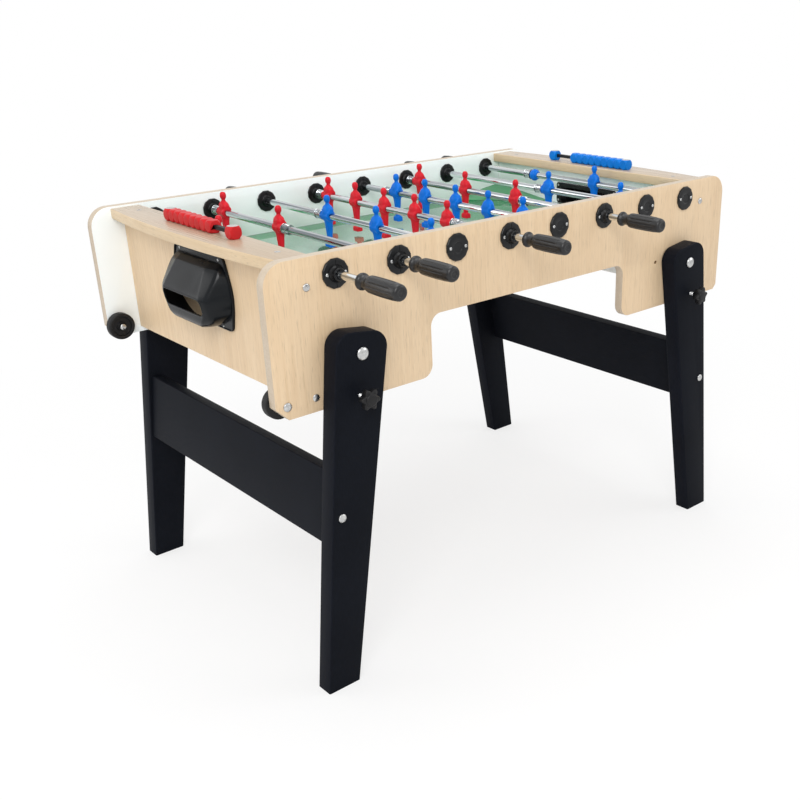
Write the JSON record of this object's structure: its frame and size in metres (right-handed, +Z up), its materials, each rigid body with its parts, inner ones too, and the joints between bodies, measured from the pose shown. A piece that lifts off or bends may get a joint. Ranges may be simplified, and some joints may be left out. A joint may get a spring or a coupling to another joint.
{
  "type": "foosball table",
  "caption": "Folding foosball table with telescopic player rods, ball cups, sliding score counters, transport wheels and two fold-away leg frames.",
  "frame": {"origin": "middle of the object on the floor, under the centre of its bounding box", "axes": "+X along the table towards the end without wheels, +Y across it away from the pictured side, +Z up"},
  "size_m": [1.352, 1.156, 0.9265],
  "materials": {
    "beech_laminate": "satin beech laminate, white on the inner faces",
    "field_board": "printed playing field",
    "glass": "clear polished safety glass",
    "black_plastic": "moulded, fine grain",
    "green_plastic": "moulded, smooth",
    "zinc": "zinc plated",
    "red_plastic": "moulded",
    "blue_plastic": "moulded",
    "black_laminate": "fine-grained black laminate",
    "steel_rod": "ground steel",
    "chrome": "chrome plated",
    "rubber_grip": "soft black rubber"
  },
  "bodies": {
    "cabinet": {"front_panel": "beech_laminate", "rear_panel": "beech_laminate", "end_panels": "beech_laminate", "top_boards": "beech_laminate", "playfield": "field_board", "field_glass": "glass", "corner_ramps": "green_plastic", "goal_frames": "black_plastic", "ball_cups": "black_plastic", "rod_bearings": "black_plastic", "screws": "zinc", "bolts": "zinc", "counter_bars": "black_plastic", "counter_end_blocks": "red_plastic"},
    "red_counter_row": {"red_counters": "red_plastic"},
    "blue_counter_row": {"blue_counters": "blue_plastic"},
    "left_frame": {"left_legs": "black_laminate", "left_stretcher": "black_laminate", "left_leg_bolts": "zinc"},
    "right_frame": {"right_legs": "black_laminate", "right_stretcher": "black_laminate", "right_leg_bolts": "zinc"},
    "front_wheel_body": {"front_wheel": "black_plastic"},
    "rear_wheel_body": {"rear_wheel": "black_plastic"},
    "left_front_knob_body": {"left_front_knob": "black_plastic"},
    "left_rear_knob_body": {"left_rear_knob": "black_plastic"},
    "right_front_knob_body": {"right_front_knob": "black_plastic"},
    "right_rear_knob_body": {"right_rear_knob": "black_plastic"},
    "rod_1_core": {"inner_rod_1": "steel_rod"},
    "rod_1_slider": {"rod_1": "chrome", "players_1": "red_plastic", "handle_1": "rubber_grip"},
    "rod_2_core": {"inner_rod_2": "steel_rod"},
    "rod_2_slider": {"rod_2": "chrome", "players_2": "red_plastic", "handle_2": "rubber_grip"},
    "rod_3_core": {"inner_rod_3": "steel_rod"},
    "rod_3_slider": {"rod_3": "chrome", "players_3": "blue_plastic", "handle_3": "rubber_grip"},
    "rod_4_core": {"inner_rod_4": "steel_rod"},
    "rod_4_slider": {"rod_4": "chrome", "players_4": "red_plastic", "handle_4": "rubber_grip"},
    "rod_5_core": {"inner_rod_5": "steel_rod"},
    "rod_5_slider": {"rod_5": "chrome", "players_5": "blue_plastic", "handle_5": "rubber_grip"},
    "rod_6_core": {"inner_rod_6": "steel_rod"},
    "rod_6_slider": {"rod_6": "chrome", "players_6": "red_plastic", "handle_6": "rubber_grip"},
    "rod_7_core": {"inner_rod_7": "steel_rod"},
    "rod_7_slider": {"rod_7": "chrome", "players_7": "blue_plastic", "handle_7": "rubber_grip"},
    "rod_8_core": {"inner_rod_8": "steel_rod"},
    "rod_8_slider": {"rod_8": "chrome", "players_8": "blue_plastic", "handle_8": "rubber_grip"}
  },
  "joints": [
    {"name": "rod_1_turn", "type": "hinge", "parent": "cabinet", "child": "rod_1_core", "pos_m": [-0.518, 0.3, 0.865], "axis": [0, 1, 0], "range_deg": [-36, 36]},
    {"name": "rod_1_slide", "type": "slide", "parent": "rod_1_core", "child": "rod_1_slider", "axis": [0, 1, 0], "range_m": [-0.131, 0.035]},
    {"name": "rod_2_turn", "type": "hinge", "parent": "cabinet", "child": "rod_2_core", "pos_m": [-0.37, 0.3, 0.865], "axis": [0, 1, 0], "continuous": true},
    {"name": "rod_2_slide", "type": "slide", "parent": "rod_2_core", "child": "rod_2_slider", "axis": [0, 1, 0], "range_m": [-0.3535, 0.0015]},
    {"name": "rod_3_turn", "type": "hinge", "parent": "cabinet", "child": "rod_3_core", "pos_m": [-0.222, -0.3, 0.865], "axis": [0, 1, 0], "continuous": true},
    {"name": "rod_3_slide", "type": "slide", "parent": "rod_3_core", "child": "rod_3_slider", "axis": [0, 1, 0], "range_m": [-0.001, 0.219]},
    {"name": "rod_4_turn", "type": "hinge", "parent": "cabinet", "child": "rod_4_core", "pos_m": [-0.074, 0.3, 0.865], "axis": [0, 1, 0], "continuous": true},
    {"name": "rod_4_slide", "type": "slide", "parent": "rod_4_core", "child": "rod_4_slider", "axis": [0, 1, 0], "range_m": [-0.127, 0.003]},
    {"name": "rod_5_turn", "type": "hinge", "parent": "cabinet", "child": "rod_5_core", "pos_m": [0.074, -0.3, 0.865], "axis": [0, 1, 0], "continuous": true},
    {"name": "rod_5_slide", "type": "slide", "parent": "rod_5_core", "child": "rod_5_slider", "axis": [0, 1, 0], "range_m": [-0.035, 0.095]},
    {"name": "rod_6_turn", "type": "hinge", "parent": "cabinet", "child": "rod_6_core", "pos_m": [0.222, 0.3, 0.865], "axis": [0, 1, 0], "continuous": true},
    {"name": "rod_6_slide", "type": "slide", "parent": "rod_6_core", "child": "rod_6_slider", "axis": [0, 1, 0], "range_m": [-0.216, 0.004]},
    {"name": "rod_7_turn", "type": "hinge", "parent": "cabinet", "child": "rod_7_core", "pos_m": [0.37, -0.3, 0.865], "axis": [0, 1, 0], "continuous": true},
    {"name": "rod_7_slide", "type": "slide", "parent": "rod_7_core", "child": "rod_7_slider", "axis": [0, 1, 0], "range_m": [-0.0015, 0.3535]},
    {"name": "rod_8_turn", "type": "hinge", "parent": "cabinet", "child": "rod_8_core", "pos_m": [0.518, -0.3, 0.865], "axis": [0, 1, 0], "range_deg": [-36, 36]},
    {"name": "rod_8_slide", "type": "slide", "parent": "rod_8_core", "child": "rod_8_slider", "axis": [0, 1, 0], "range_m": [-0.005, 0.161]},
    {"name": "left_frame_fold", "type": "hinge", "parent": "cabinet", "child": "left_frame", "pos_m": [-0.499, 0, 0.715], "axis": [0, -1, 0], "range_deg": [0, 92.12]},
    {"name": "right_frame_fold", "type": "hinge", "parent": "cabinet", "child": "right_frame", "pos_m": [0.499, 0, 0.715], "axis": [0, 1, 0], "range_deg": [0, 103.12]},
    {"name": "left_front_knob_screw_in", "type": "slide", "parent": "left_frame", "child": "left_front_knob_body", "axis": [0, 1, 0], "range_m": [0, 0.013]},
    {"name": "left_rear_knob_screw_in", "type": "slide", "parent": "left_frame", "child": "left_rear_knob_body", "axis": [0, -1, 0], "range_m": [0, 0.013]},
    {"name": "right_front_knob_screw_in", "type": "slide", "parent": "right_frame", "child": "right_front_knob_body", "axis": [0, 1, 0], "range_m": [0, 0.013]},
    {"name": "right_rear_knob_screw_in", "type": "slide", "parent": "right_frame", "child": "right_rear_knob_body", "axis": [0, -1, 0], "range_m": [0, 0.013]},
    {"name": "front_wheel_roll", "type": "hinge", "parent": "cabinet", "child": "front_wheel_body", "pos_m": [-0.645, -0.345, 0.634], "axis": [0, 1, 0], "continuous": true},
    {"name": "rear_wheel_roll", "type": "hinge", "parent": "cabinet", "child": "rear_wheel_body", "pos_m": [-0.645, 0.345, 0.634], "axis": [0, 1, 0], "continuous": true},
    {"name": "red_score", "type": "slide", "parent": "cabinet", "child": "red_counter_row", "axis": [0, 1, 0], "range_m": [-0.0584, 0]},
    {"name": "blue_score", "type": "slide", "parent": "cabinet", "child": "blue_counter_row", "axis": [0, 1, 0], "range_m": [0, 0.0584]}
  ]
}
